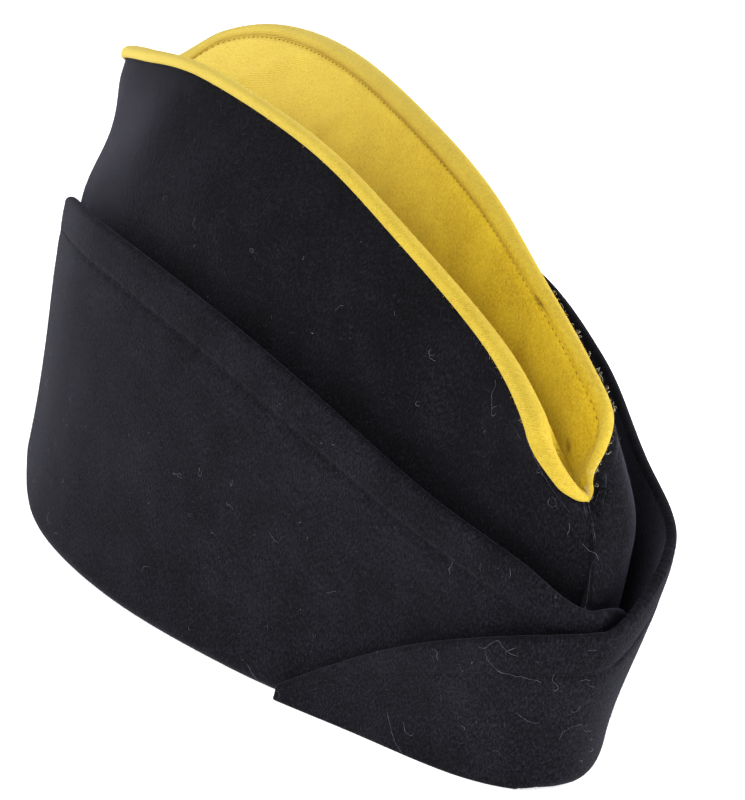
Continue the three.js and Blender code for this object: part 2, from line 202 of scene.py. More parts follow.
# Hairs caught in the wool of each piece: a share of its length, a height, and then the way each one runs
# from there, in millimetres to the right and up
HAIRS = {
    "flap_left": (
        (0.847, 38.6, ((-1.7, -0.1), (0, 0), (1.7, 2.1), (3.6, 3.4), (4.8, 1.7), (6.2, 0.3), (8.3, -0.2))),
        (0.847, 38.4, ((0, 0), (0.2, -2.7), (1.7, -5), (3.5, -6.5), (5.2, -6.3), (6.7, -6.8), (8.3, -6.2),
                       (9.9, -7), (11.7, -6.8), (12.9, -7.5))),
        (0.786, 32.7, ((0.2, 2.2), (-0.4, 0.2), (0.9, -1), (1.3, -2.1), (0.5, -3.2), (0, -2.5))),
        (0.762, 33.1, ((0, 0), (1.2, 0.3), (2.4, -0.3))),
        (0.755, 32, ((0, 0), (1, -0.9), (2.1, -1.4))),
        (0.764, 41.9, ((0, 0), (1, 0.2), (2.1, 0))),
        (0.81, 21.9, ((0, 0), (2, -1.4), (4.3, -2.3), (5.8, -1.7))),
        (0.764, 15.8, ((0, 0), (0.4, 2.4), (2.3, 3.9), (4.7, 4), (5.4, 3.3))),
        (0.908, 9.6, ((-2.4, 0), (-1, -3.9), (0.5, -6.8), (2.9, -8.9))),
        (0.908, 9.6, ((2.9, -0.8), (3.4, -2.9), (5.3, -3.4), (6, -2.6))),
        (0.985, 1.8, ((-1, 1.6), (0.1, 1.8), (0.3, 0.4), (-0.3, -0.4))),
    ),
    "flap_right": (
        (0.674, 56.2, ((0, -1), (0.2, 0.4), (0.8, 1.2))),
        (0.703, 57.1, ((0, 1.4), (0.3, 0), (0, -1.3))),
        (0.523, 3.8, ((-1, 1), (1.4, -1), (4, -3))),
    ),
    "crown_right": (
        (0.766, 90.7, ((-0.6, 3.8), (0.5, 2.6), (0.2, 0.6), (1.2, -1), (1.6, -2.6))),
        (0.9, 73.4, ((0, 1.3), (1.1, 0.8), (1.2, -0.5), (0.1, -1.2), (-0.9, -0.3), (-0.5, 0.9))),
        (0.931, 67.9, ((0, 1.3), (0.3, 0), (-0.2, -1.5))),
    ),
    "crown_left": (
        (0.985, 61.6, ((-3, 3.2), (-1.6, 1.4), (0.2, 0.6), (0.9, -1.2))),
    ),
}
LOOSE_HAIRS = (
    ("flap_left", 44, (0.03, 0.93), (4, 42)),
    ("flap_right", 44, (0.03, 0.78), (4, 60)),
    ("crown_right", 26, (0.1, 0.97), (80, 106)),
    ("crown_left", 26, (0.1, 0.97), (80, 106)),
)
HAIR_POINTS = 28
HAIR_ROUNDING = 2
HAIR_RADIUS = 0.026
HAIR_LIFT = 0.15
CAUGHT_STAND = 0.1
LOOSE_STAND = (0, 0.8)
LOOSE_LENGTH = (1.2, 5)
NEARBY = 25  # columns on each side that a hair may lie on

# Pale fuzz along the left roll. Its rows are counted from the gusset's left edge.
FUZZ_COUNT = 45
FUZZ_PLACE = (0.83, 0.07)
FUZZ_ROWS = (13, 3)
FUZZ_RADIUS = 0.022
FUZZ_STAND = (0.1, 1.2)
FUZZ_LENGTH = (1.0, 3.0)

# Threads and fibres. brush is how far the fibres' headings stray, in radians.
NAVY_STITCH = {"spacing": 3.2, "length": 2.5, "radius": 0.16, "sink": 0.3}
YELLOW_STITCH = {"spacing": 2.2, "length": 1.1, "radius": 0.17, "sink": 0.25}
NAP_COUNTS = {"flap_right": 17000, "flap_left": 17000, "crown_right": 14000, "crown_left": 14000}
NAVY_NAP = {"length": 0.9, "width": 0.05, "brush": 1.1}
YELLOW_NAP = {"count": 15000, "length": 0.7, "width": 0.05, "brush": 2.0}
SPECKS = {"count": 90, "length": 0.45, "width": 0.13, "brush": 2.0}
FIBRE_SIZES = (0.5, 1.4)
FIBRE_LIFT = (8, 50)  # degrees off the cloth
FIBRE_BEND = 0.35
FLOOR_CLEAR = 0.05

SEED = 11
NAP_SEED = SEED + 1
GUSSET_SEED = SEED + 5
YELLOW_NAP_SEED = SEED + 6
SPECK_SEED = SEED + 7
FLAP_SEED = SEED + 20
LINT_SEED = SEED + 30
FUZZ_SEED = SEED + 31


# Shape of the cap

def column(name, t):
    """Smooth value of one section column at t along a side."""
    rows = np.array(SECTIONS[name], float)
    sign = -1.0 if name in CROSSES_CENTRE else 1.0
    rows = np.concatenate(([sign * rows[1]], rows, [sign * rows[-2]]))
    last = len(rows) - 3
    place = np.clip(np.asarray(t, float), 0, 1) * last
    row = np.minimum(place.astype(int), last - 1)
    f = place - row
    a, b, c, d = (rows[row + k] for k in range(4))
    slope_b = (c - a) / 2
    slope_c = (d - b) / 2
    square = 3 * (c - b) - 2 * slope_b - slope_c
    cube = 2 * (b - c) + slope_b + slope_c
    return b + slope_b * f + square * f ** 2 + cube * f ** 3


def blend(a, b, f):
    return a + (b - a) * f


def ease(x, low, high):
    f = np.clip((x - low) / (high - low), 0, 1)
    return f * f * (3 - 2 * f)


def hump(x, middle, width):
    """1 at the middle, falling off smoothly over the width."""
    return np.exp(-((x - middle) / width) ** 2)


def beside_line(a, b, start, end, width):
    """1 on a straight line between two places on the cloth, falling off smoothly over the width."""
    from_a, from_b = a - start[0], b - start[1]
    way_a, way_b = end[0] - start[0], end[1] - start[1]
    share = np.clip((from_a * way_a + from_b * way_b) / (way_a ** 2 + way_b ** 2), 0, 1)
    return hump(np.hypot(from_a - share * way_a, from_b - share * way_b), 0, width)


def points(x, y, z):
    return np.stack(np.broadcast_arrays(x, y, z), axis=-1)


def unit(vectors):
    return vectors / np.linalg.norm(vectors, axis=-1, keepdims=True)


def outward(t):
    angle = math.pi * (0.5 - t)
    return unit(points(np.cos(angle), OUTWARD_TURN * np.sin(angle), 0))


def rim_point(t):
    s = np.sin(math.pi * (0.5 - t))
    y = RIM_HALF_LENGTH * np.sign(s) * np.abs(s) ** RIM_ROUNDING
    return points(column("rim_x", t), y, 0)


def ridge_height(side, t):
    return column("ridge_z", t) - (column("right_drop", t) if side == RIGHT else 0)


def ridge_lean(side, t):
    """How far the ridge stands out of its even curve on its own side."""
    lean = -side * column("lean", t)
    if side == LEFT:
        lean = lean + sum(draw * hump(t, place, width) for place, width, draw in LEFT_DRAW)
    return lean


def ridge_point(side, t):
    return points(column("ridge_x", t) + ridge_lean(side, t), column("ridge_y", t), ridge_height(side, t))


def fold_middle(side, t):
    """Where the middle of the top fold lies, as seen from one side."""
    return -side * column("lean", t) * ease(t, *LEAN_MIDDLE)


def wall_point(side, t, v, offset):
    """Crown's outer face as if it lay at +X: v is 0 at the rim and 1 at the ridge."""
    flap_v = column("flap_right", t) / ridge_height(side, t)
    belly = column("belly", t) + (column("belly_left", t) if side == LEFT else 0)
    swell = belly * BELLY_SCALE * v * v * (1 - v)
    above = np.clip((v - flap_v) / (1 - flap_v), 0, 1)
    draw_in = column("waist", t) * np.sin(math.pi * above) ** 2
    rim = rim_point(t)
    lean = ridge_lean(side, t)
    level = rim + (ridge_point(side, t) - points(lean, 0, 0) - rim) * np.asarray(v)[..., None]
    level = level + points(lean * v ** LEAN_POWER, 0, 0)
    return level + outward(t) * np.asarray(swell - draw_in + offset)[..., None]


def drawn_tight(side, t):
    """1 where the gusset's roll is drawn tight, which only the left one is."""
    return ease(t, *TIGHT_ROLL) if side == LEFT else 0 * t


def edge_frame(side, t):
    """The ridge, the direction out of the wall and the direction down it, for an array of t."""
    ridge = ridge_point(side, t)
    along = unit(ridge_point(side, t + SLOPE_STEP) - ridge_point(side, t - SLOPE_STEP))
    turn = ease(t, *TIP_TURN)[:, None]
    along = unit(blend(along, (-1, 0, 0), turn))
    along[t < SLOPE_STEP] = (1, 0, 0)
    down = wall_point(side, t, EDGE_ROW, 0) - ridge
    down = unit(down - along * np.sum(down * along, axis=-1, keepdims=True))
    out = unit(np.cross(along, down))
    facing = np.sign(np.sum(out * outward(t), axis=-1, keepdims=True))
    return ridge, out * facing, down


def waves(a, b, seed):
    """Slow unevenness of cloth, about -1 to 1, over two lengths in millimetres."""
    rng = np.random.default_rng(seed)
    total = 0
    for length in WAVE_LENGTHS:
        heading, phase = rng.uniform(0, math.tau, 2)
        total = total + np.sin((a * math.cos(heading) + b * math.sin(heading)) * math.tau / length + phase)
    return total / len(WAVE_LENGTHS)


# Cloth meshes

def rounded(distance, radius):
    """Share of the full thickness near an edge that is rounded over with this radius."""
    return np.sqrt(np.clip(1 - (1 - np.clip(distance / radius, 0, 1)) ** 2, 0, 1))


def edge_rows(radius, count=7):
    return radius * (1 - np.cos(np.linspace(0, math.pi / 2, count)))


def crowded(start, stop, count, edge):
    """Even steps with finer ones at both ends."""
    fine = edge_rows(edge)[1:]
    return np.unique(np.concatenate((np.linspace(start, stop, count), start + fine, stop - fine)))


def run_along(grid, axis=0):
    """Length run along a line of points, or along one axis of a grid of them."""
    steps = np.linalg.norm(np.diff(grid, axis=axis), axis=-1)
    pad = [(0, 0)] * steps.ndim
    pad[axis] = (1, 0)
    return np.pad(np.cumsum(steps, axis=axis), pad)


def on_line(lengths, run, line):
    """Places on a line at some lengths along it."""
    return np.stack([np.interp(lengths, run, values) for values in line.T], axis=-1)


def grid_normals(grid, sign):
    return sign * unit(np.cross(np.gradient(grid, axis=0), np.gradient(grid, axis=1)))


def two_faces(outer, inner):
    """Closed section loops: up the outer face and back down the inner one."""
    return np.concatenate((outer, inner[:, -2:0:-1], outer[:, :1]), axis=1)


def cloth_mesh(name, outer, inner, along, across, stains=None):
    """A sheet of cloth: a grid with its points placed on the two faces, closed where they meet.
    along and across are millimetres on the cloth, kept as a UV map in metres."""
    loops = two_faces(outer, inner)
    lengths = np.stack(np.broadcast_arrays(along, across), axis=-1)
    lengths = two_faces(lengths, lengths)
    columns, rows = loops.shape[:2]
    bpy.ops.mesh.primitive_grid_add(x_subdivisions=columns - 1, y_subdivisions=rows - 1, size=1)
    piece = bpy.context.object
    piece.name = name
    mesh = piece.data
    mesh.name = name
    count = len(mesh.vertices)
    flat = np.empty(count * 3)
    mesh.vertices.foreach_get("co", flat)
    flat = flat.reshape(-1, 3)
    column_of = np.rint((flat[:, 0] + 0.5) * (columns - 1)).astype(int)
    row_of = np.rint((flat[:, 1] + 0.5) * (rows - 1)).astype(int)
    placed = (loops[column_of, row_of] + MIDDLE) * MM
    mesh.vertices.foreach_set("co", placed.ravel())
    corner_vertex = np.empty(len(mesh.loops), int)
    mesh.loops.foreach_get("vertex_index", corner_vertex)
    uv = lengths[column_of, row_of][corner_vertex] * MM
    mesh.uv_layers[0].name = "cloth"
    mesh.uv_layers["cloth"].uv.foreach_set("vector", uv.ravel())
    for stain, amount in (stains or {}).items():
        attribute = mesh.attributes.new(stain, "FLOAT", "POINT")
        attribute.data.foreach_set("value", amount[column_of, row_of].ravel())
    mesh.update()
    bpy.ops.object.mode_set(mode="EDIT")
    bpy.ops.mesh.select_all(action="SELECT")
    bpy.ops.mesh.remove_doubles(threshold=WELD * MM)
    bpy.ops.mesh.normals_make_consistent(inside=False)
    bpy.ops.object.mode_set(mode="OBJECT")
    mesh.shade_smooth()
    return piece


def joined_mesh(name, vertices, faces):
    """One mesh from arrays: vertices in millimetres and faces of equal size."""
    mesh = bpy.data.meshes.new(name)
    mesh.from_pydata(((vertices + MIDDLE) * MM).tolist(), [], faces.tolist())
    mesh.shade_smooth()
    piece = bpy.data.objects.new(name, mesh)
    bpy.context.collection.objects.link(piece)
    return piece


# Crown panels

def crown_panel(name, side):
    t = crowded(0, 1, 250, 0.008)
    ridge, out, down = edge_frame(side, t)
    height = ridge_height(side, t)
    edge_length = np.linalg.norm(wall_point(side, t, EDGE_ROW, 0) - ridge, axis=-1)
    top_v = 1 - PANEL_TOP * (1 - EDGE_ROW) / edge_length
    under_flap = np.linspace(0, 0.4, 14)[:-1]
    above = np.linspace(0.4, 1, 46)
    share = np.unique(np.concatenate((under_flap, above, edge_rows(0.012), 1 - edge_rows(0.008))))
    v = blend((CROWN_FOOT / height)[:, None], top_v[:, None], share)
    tt = np.broadcast_to(t[:, None], v.shape)
    z = v * height[:, None]
    over_flap = z - column("flap_right", tt)
    stand = CROWN_WAVES * waves(column("ridge_y", tt), z, SEED + side)
    for panels, along_side, up_wall, dent in CROWN_DENTS:
        if side in panels:
            stand = stand + dent * hump(tt, *along_side) * hump(v, *up_wall)
    stand = stand * ease(over_flap, *CROWN_FREE) * (1 - ease(v, *CROWN_HELD))
    if side == RIGHT:
        stand = stand - FLAP_PRESS * hump(over_flap, *PRESS_PLACE) * ease(tt, *PRESS_START)
    edge_cloth = blend(CROWN_CLOTH, TIGHT_EDGE, drawn_tight(side, tt))
    cloth = blend(CROWN_CLOTH, edge_cloth, ease(v, *THIN_EDGE))
    offset = stand - cloth / 2
    wall = wall_point(side, tt, v, offset)
    depth = np.linalg.norm(wall_point(side, tt, v, 0) - ridge[:, None], axis=-1)
    edge = ridge[:, None] + out[:, None] * offset[..., None] + down[:, None] * depth[..., None]
    middle = fold_middle(side, t)
    edge[..., 0] = np.maximum(edge[..., 0], blend(middle, ridge[:, 0], CENTRE_KEEP)[:, None])
    centre = blend(wall, edge, ease(v, *EDGE_BEND)[..., None])
    centre[..., 0] += SEAM_GAP
    centre = centre * points(side, 1, 1)
    along = run_along(centre)
    up = run_along(centre, 1)
    end = np.minimum(along, along[-1] - along)
    to_edge = np.minimum(up, up[:, -1:] - up)
    half = cloth / 2 * rounded(to_edge, cloth / 2) * rounded(end, SEAM_ROUNDING)
    normal = grid_normals(centre, -side)
    outer = centre + normal * half[..., None]
    inner = centre - normal * half[..., None]
    piece = cloth_mesh(name, outer, inner, along[:, along.shape[1] // 2, None], up)
    return piece, (outer, normal)


# Flaps

def fold_at(t):
    return 1 - ease(t, *FOLD_ENDS)


def wrap_height(front_height, u, fall):
    return blend(WRAP_TIP, front_height, 1 - u ** fall)


def right_flap_sections(t, u):
    """Gaps to the crown, lower edge, upper edge and fold. u is 0 on the flap's own side of the cap."""
    wraps = u > 0
    tucked = blend(column("stand_right", 1), LAYER_GAP, np.minimum(1, u / RIGHT_TUCK))
    lifted = blend(CROWN_FOOT, FRONT_CLEAR, ease(t, *RIGHT_LIFT))
    wrapped_top = CROWN_FOOT + wrap_height(column("flap_right", 1) - CROWN_FOOT, u, RIGHT_FALL)
    return {
        "gap_foot": np.full_like(t, LAYER_GAP),
        "gap_top": np.where(wraps, tucked, column("stand_right", t)),
        "bottom": np.where(wraps, lifted, FRONT_CLEAR * ease(t, *FRONT_RISE)),
        "top": np.where(wraps, wrapped_top, column("flap_right", t)),
        "fold": np.where(wraps, 0, fold_at(t)),
    }


def left_flap_sections(t, u):
    wraps = u > 0
    running_out = 1 - ease(u, *FRONT_WRAP)
    front = FRONT_EASE * np.where(wraps, running_out, ease(t, *FRONT_SPREAD))
    spread = blend(LAYER_GAP, OUTSIDE_RIGHT, np.where(wraps, 1, ease(t, *SPREAD)))
    tucked = blend(column("stand_left", 1), OUTSIDE_RIGHT + WRAP_STAND, u ** 2)
    tucked = tucked + WRAP_SWELL * np.sin(math.pi * u) ** 2
    return {
        "gap_foot": spread + front,
        "gap_top": np.where(wraps, tucked, column("stand_left", t)),
        "bottom": FRONT_LIFT * np.where(wraps, running_out, ease(t, *FRONT_RISE)),
        "top": np.where(wraps, wrap_height(column("flap_left", 1), u, LEFT_FALL), column("flap_left", t)),
        "fold": np.where(wraps, FRONT_TURN * (1 - ease(u, *TURN_END)), np.maximum(fold_at(t), FRONT_TURN)),
    }


def flap_path(gap_foot, gap_top, bottom, top, fold):
    """Middle of the cloth across a flap, from its top edge down and round under the rim: gap and height."""
    half = FLAP_CLOTH / 2
    corner = gap_foot + half
    inner = blend(corner, -FOLD_REACH, fold)
    level = bottom + half * rounded(corner - inner, half)
    radius = min(FOLD_RADIUS, corner - inner)
    z = np.linspace(top, level + radius, UPRIGHT_STEPS)
    stand = np.clip((z - level - radius) / (top - level - radius), 0, 1) ** STAND_POWER
    angle = np.linspace(math.pi / 2, 0, TURN_STEPS)[1:]
    under = np.linspace(corner - radius, inner, UNDER_STEPS)[1:]
    offsets = np.concatenate((
        blend(gap_foot, gap_top, stand) + half,
        corner - radius + radius * np.sin(angle),
        under,
    ))
    heights = np.concatenate((z, level + radius * (1 - np.cos(angle)), np.full_like(under, level)))
    return np.stack((offsets, heights), axis=-1)


def flap_rows(length):
    """Distances down a flap's section: fine at the edge, the topstitching and the rim."""
    edge = edge_rows(FLAP_CLOTH / 2)
    over_stitch = np.linspace(2.0, HEM_DEPTH - 1.8, 7)
    at_stitch = np.linspace(HEM_DEPTH - 1.4, HEM_DEPTH + 1.4, 9)
    hem = np.concatenate((edge, over_stitch, at_stitch, (HEM_DEPTH + 2.4, HEM_DEPTH + 4)))
    foot = np.concatenate((edge, np.linspace(1.9, 11, 15)))
    scale = min(1, length / SHORT_FLAP)
    middle = np.linspace(hem[-1] * scale, length - foot[-1] * scale, 34)[1:-1]
    return np.concatenate((hem * scale, middle, (length - foot * scale)[::-1])), scale


def flap(name, own, wrap, sections):
    q = crowded(0, 1 + wrap, 400, 0.008)
    t = np.where(q <= 1, q, 2 - q)
    u = np.clip((q - 1) / wrap, 0, 1)
    section = sections(t, u)
    placed, down, scales = [], [], []
    for i in range(len(q)):
        path = flap_path(**{key: values[i] for key, values in section.items()})
        run = run_along(path)
        rows, scale = flap_rows(run[-1])
        placed.append(on_line(rows, run, path))
        down.append(rows)
        scales.append(scale)
    offsets, z = np.moveaxis(np.array(placed), -1, 0)
    down = np.array(down)
    scale = np.array(scales)[:, None]
    tt = np.broadcast_to(t[:, None], z.shape)
    side = np.where(q <= 1, own, -own)[:, None]
    along_y = column("ridge_y", tt) * np.where(q <= 1, 1, -1)[:, None]
    lift = np.clip(z / section["top"][:, None], 0, 1)
    offsets = offsets + FLAP_WAVES * lift * waves(along_y, z, FLAP_SEED + own)
    if own == LEFT:
        foot = np.clip(1 - z / TUCK_RISE, 0, 1) ** 2
        beside_front = hump(tt, *TUCK_PLACE) * (q <= 1)[:, None]
        offsets = offsets - FRONT_TUCK * beside_front * foot
    on_left, on_right = (wall_point(on, tt, z / ridge_height(on, tt), offsets) for on in (LEFT, RIGHT))
    centre = np.where((side == LEFT)[..., None], on_left, on_right)
    centre[..., 0] += SEAM_GAP * (1 - tt)
    centre = centre * points(side, 1, 1)
    along = run_along(centre)
    end = np.minimum(along, along[-1] - along)
    to_edge = np.minimum(down, down[:, -1:] - down)
    half = FLAP_CLOTH / 2 * rounded(to_edge, FLAP_CLOTH / 2) * rounded(end, END_ROUNDING)
    normal = grid_normals(centre, own)
    from_stitch = (down - HEM_DEPTH * scale) / scale
    relief = sum(stand * hump(from_stitch, place, width) for place, width, stand in HEM_RELIEF)
    pucker = np.cos(math.tau * along / PUCKER_LENGTH)
    relief = relief + HEM_PUCKER * hump(from_stitch, 0, PUCKER_WIDTH) * pucker
    relief = relief * rounded(to_edge, HEM_FADE) * rounded(end, HEM_FADE) * scale
    relief = relief * blend(*HEM_SHOWN[own], ease(tt, *HEM_START))
    outer = centre + normal * (half + relief)[..., None]
    inner = centre - normal * half[..., None]
    piece = cloth_mesh(name, outer, inner, along[:, along.shape[1] // 2, None], -down)
    stitch_row = int(np.argmin(np.abs(down[0] - HEM_DEPTH)))
    return piece, (outer, normal), stitch_row


# Top gusset

def gusset_half(side, t):
    """Middle of the gusset's cloth as if it lay at +X: from the roll's outer foot to the fold's wall."""
    ridge, out, down = edge_frame(side, t)
    half = GUSSET_CLOTH / 2
    tight = drawn_tight(side, t)
    outside = blend(ROLL_GAP, TIGHT_GAP, tight) + half
    lip = ROLL_LIP * hump(t, *LIP_PLACE) if side == RIGHT else 0
    inside = -blend(CROWN_CLOTH, TIGHT_EDGE, tight) - outside - lip
    deeper = ROLL_FRONT * ease(t, *ROLL_DEEPER) if side == RIGHT else 0
    foot = blend(ROLL_FOOT + deeper, ROLL_TIP, ease(t, *ROLL_SHALLOWER[side]))
    foot_rows = np.concatenate((edge_rows(half, 5), np.linspace(1.0, ROLL_FOOT - ROLL_SHOULDER, 4)[:-1]))
    stretch = (foot - ROLL_SHOULDER) / (ROLL_FOOT - ROLL_SHOULDER)
    foot_depth = foot[:, None] - foot_rows * stretch[:, None]
    tuck = outside[:, None] - ROLL_TUCK * ease(foot_depth, ROLL_SHOULDER, foot[:, None])
    angle = np.linspace(0, math.pi, 21)
    arc_offset = blend(inside[:, None], outside[:, None], (1 + np.cos(angle)) / 2)
    arc_depth = ROLL_SHOULDER - (ROLL_SHOULDER - half) * np.sin(angle)
    offset = np.concatenate((tuck, arc_offset), axis=1)
    depth = np.concatenate((foot_depth, np.broadcast_to(arc_depth, arc_offset.shape)), axis=1)
    roll = ridge[:, None] + out[:, None] * offset[..., None] + down[:, None] * depth[..., None]
    middle = fold_middle(side, t)
    reach = np.maximum(ridge[:, 0] - middle, 0)
    keep = (middle + CENTRE_KEEP * reach)[:, None]
    softness = 0.35
    over = (roll[..., 0] - keep) / softness
    near_tip = np.tanh(CENTRE_KEEP * reach / softness)[:, None]
    roll[..., 0] = keep + softness * np.logaddexp(0, over) * near_tip
    valley_y = (ridge + out * (inside - 2 * half)[:, None])[:, 1]
    return roll, valley_y


def gusset_wall(start, valley):
    """The fold's wall from the roll down to the valley, and the distance run down it."""
    near = np.concatenate((GUSSET_STITCH * np.linspace(0.25, 2.5, 10), [3.2, 4.6]))
    length = np.linalg.norm(valley - start, axis=-1)[:, None]
    scale = np.minimum(1, length / SHORT_WALL)
    first = near[None] * scale
    spread = 1 - (1 - np.linspace(0, 1, 30)[1:]) ** 1.25
    run = np.concatenate((first, first[:, -1:] + (length - first[:, -1:]) * spread), axis=1)
    f = run / length
    bend = 0.05
    g = (np.sqrt((1 - f) ** 2 + bend ** 2) - bend) / (math.sqrt(1 + bend ** 2) - bend)
    wall = start[:, None] * g[..., None] + valley[:, None] * (1 - g[..., None])
    wall[..., 0] = blend(start[:, None, 0], valley[:, None, 0], f)
    return wall, run, np.broadcast_to(scale, run.shape)


def gusset():
    t = crowded(0, 1, 300, 0.012)
    right_roll, right_y = gusset_half(RIGHT, t)
    left_roll, left_y = gusset_half(LEFT, t)
    right_roll = right_roll * points(RIGHT, 1, 1)
    valley_z = column("ridge_z", t) - column("valley", t) - GUSSET_CLOTH / 2
    middle = fold_middle(LEFT, t)
    valley = points(middle, (right_y + left_y) / 2, valley_z)
    right_wall, right_run, right_scale = gusset_wall(right_roll[:, -1], valley)
    left_wall, left_run, left_scale = gusset_wall(left_roll[:, -1], valley)
    centre = np.concatenate((right_roll, right_wall, left_wall[:, -2::-1], left_roll[:, ::-1]), axis=1)
    rows_roll, rows = right_roll.shape[1], centre.shape[1]
    tight = drawn_tight(LEFT, t)[:, None]
    for kink, reach, passes, amount in (
        (rows_roll - 1, 5, 6, 1),
        (rows - rows_roll, 5, 6, 1),
        (rows - rows_roll, 13, 60, tight[..., None]),
    ):
        first, last = kink - reach, kink + reach + 1
        for _ in range(passes):
            now = centre[:, first:last]
            eased = (centre[:, first - 1:last - 1] + 2 * now + centre[:, first + 1:last + 1]) / 4
            centre[:, first:last] = blend(now, eased, amount)
    none = np.zeros((len(t), rows_roll))
    run = np.concatenate((none, right_run, left_run[:, -2::-1], none), axis=1)
    scale = np.concatenate((none + 1, right_scale, left_scale[:, -2::-1], none + 1), axis=1)
    normal = grid_normals(centre[1:-1], 1)
    normal = np.concatenate((normal[:1], normal, normal[-1:]))
    normal[[0, -1], :, 0] = 0
    normal = unit(normal)
    along = run_along(centre)
    across = run_along(centre, 1)
    to_edge = np.minimum(across, across[:, -1:] - across)
    half = GUSSET_CLOTH / 2 * rounded(to_edge, GUSSET_CLOTH / 2)
    middle_row = rows // 2
    sides = np.sign(np.arange(rows) - middle_row)
    from_right = across - across[:, [rows_roll - 1]]
    from_left = across[:, [rows - rows_roll]] - across
    down = np.where(sides == LEFT, from_left, from_right)
    groove = np.where(sides == LEFT, blend(*LEFT_GROOVE, tight), RIGHT_GROOVE)
    swell = np.where(sides == LEFT, blend(*LEFT_SWELL, tight), 0)
    # painted shade under the left roll, over its stitching and groove, deeper at the back
    darkening = np.where(sides == LEFT, blend(*LEFT_ROLL_SHADE, tight), 0)
    stitch = down / scale - GUSSET_STITCH
    relief = WALL_SWELL * hump(stitch, *WALL_PLACE) - groove * hump(stitch, 0, GROOVE_WIDTH)
    relief = (relief + swell * hump(down, *SWELL_PLACE)) * scale
    pillows = waves(column("ridge_y", t)[:, None] * PILLOW_SCALE[0], run * PILLOW_SCALE[1], GUSSET_SEED)
    relief = relief + WALL_PILLOWS * pillows * ease(run, *PILLOW_START) * (sides == LEFT)
    level_run = along[:, rows_roll // 2, None]
    mark = darkening * hump(stitch, *ROLL_SHADE_PLACE)
    for start, end, width, stand, dark in WALL_MARKS:
        near = beside_line(level_run, down, start, end, width) * (sides == LEFT)
        relief = relief + stand * near
        mark = mark + dark * near
    # painted sheen: 1 on the rolls, where the material greys the wool
    roll_sheen = 1 - ease(down, *ROLL_SHEEN_ENDS)
    outer = centre + normal * (half + relief)[..., None]
    inner = centre - normal * half[..., None]
    from_middle = np.abs(np.arange(rows) - middle_row) / middle_row
    least = WALL_APART * from_middle * np.minimum(1, column("ridge_x", t) / 2)[:, None]
    for face in (outer, inner):
        aside = np.maximum(sides * (face[..., 0] - middle[:, None]), least)
        face[..., 0] = middle[:, None] + sides * aside
    piece = cloth_mesh("top_gusset_wool", outer, inner, level_run, across,
                       {"mark": two_faces(mark, 0 * mark), "roll_sheen": two_faces(roll_sheen, roll_sheen)})
    stitch_row = rows_roll + 3  # the wall's row that lies on the topstitching
    return piece, (outer, normal), (stitch_row, rows - 1 - stitch_row)


# Stitches, nap and lint

def threads(name, path, up, thick):
    """Round threads, one for each row of path, with the cloth's normals beside it and its radius along it."""
    forward = unit(np.gradient(path, axis=1))
    across = unit(np.cross(forward, up))
    sides = 6
    angle = math.tau * np.arange(sides) / sides
    ring = across[:, :, None] * np.cos(angle)[:, None] + up[:, :, None] * np.sin(angle)[:, None]
    vertices = path[:, :, None] + ring * thick[:, None, None]
    index = np.arange(vertices[..., 0].size).reshape(vertices.shape[:3])
    a = index[:, :-1]
    b = index[:, 1:]
    faces = np.stack((a, np.roll(a, -1, 2), np.roll(b, -1, 2), b), axis=-1).reshape(-1, 4)
    ends = np.concatenate((index[:, 0, ::-1], index[:, -1]))
    caps = np.concatenate((ends[:, [0, 1, 2, 3]], ends[:, [0, 3, 4, 5]]))
    return joined_mesh(name, vertices.reshape(-1, 3), np.concatenate((faces, caps)))


def stitches(name, face, row, spacing, length, radius, sink):
    """Rounded stitches laid end to end along one row of a face, their ends pulled into the cloth."""
    line, normal = (part[:, row] for part in face)
    run = run_along(line)
    starts = np.arange(spacing, run[-1] - spacing, spacing)
    share = np.linspace(0, 1, 7)
    at = starts[:, None] + share * length
    up = unit(on_line(at, run, normal))
    path = on_line(at, run, line) + up * (radius * 0.4 - sink * (2 * share - 1) ** 4)[:, None]
    return threads(name, path, up, radius * np.sqrt(1 - 0.9 * (2 * share - 1) ** 4))


def scatter(outer, normal, count, rng):
    """Random places on a face, evenly by area: points, normals and the two directions of the cloth."""
    a, b = outer[:-1, :-1], outer[1:, :-1]
    c, d = outer[1:, 1:], outer[:-1, 1:]
    area = np.linalg.norm(np.cross(c - a, d - b), axis=-1) / 2
    cells = rng.choice(area.size, count, p=(area / area.sum()).ravel())
    i, j = np.unravel_index(cells, area.shape)
    f, g = rng.random((2, count, 1))
    place = blend(blend(a[i, j], b[i, j], f), blend(d[i, j], c[i, j], f), g)
    along = unit(b[i, j] - a[i, j] + 1e-9)
    up = normal[i, j]
    across = unit(np.cross(up, along))
    return place, up, along, across


def nap(name, face, seed, count, length, width, brush):
    """Short fibres that stand off the cloth, as thin bent strips."""
    rng = np.random.default_rng(seed)
    place, up, along, across = scatter(*face, count, rng)
    turn = rng.normal(0, brush, (count, 1))
    heading = across * np.cos(turn) + along * np.sin(turn)
    lift = np.radians(rng.uniform(*FIBRE_LIFT, (count, 1)))
    size = length * rng.uniform(*FIBRE_SIZES, (count, 1))
    middle = place + size * 0.5 * (heading * np.cos(lift + FIBRE_BEND) + up * np.sin(lift + FIBRE_BEND))
    tip = place + size * (heading * np.cos(lift * 0.8) + up * np.sin(lift * 0.8))
    root = place - up * FLOOR_CLEAR
    aside = np.cross(up, heading) * width / 2
    vertices = np.stack((root - aside, root + aside, middle - aside * 0.8, middle + aside * 0.8,
                         tip - aside * 0.3, tip + aside * 0.3), axis=1)
    vertices = vertices[vertices[..., 2].min(axis=1) > FLOOR_CLEAR]
    first = np.arange(len(vertices))[:, None] * 6
    faces = np.concatenate((first + [0, 1, 3, 2], first + [2, 3, 5, 4]))
    return joined_mesh(name, vertices.reshape(-1, 3), faces)


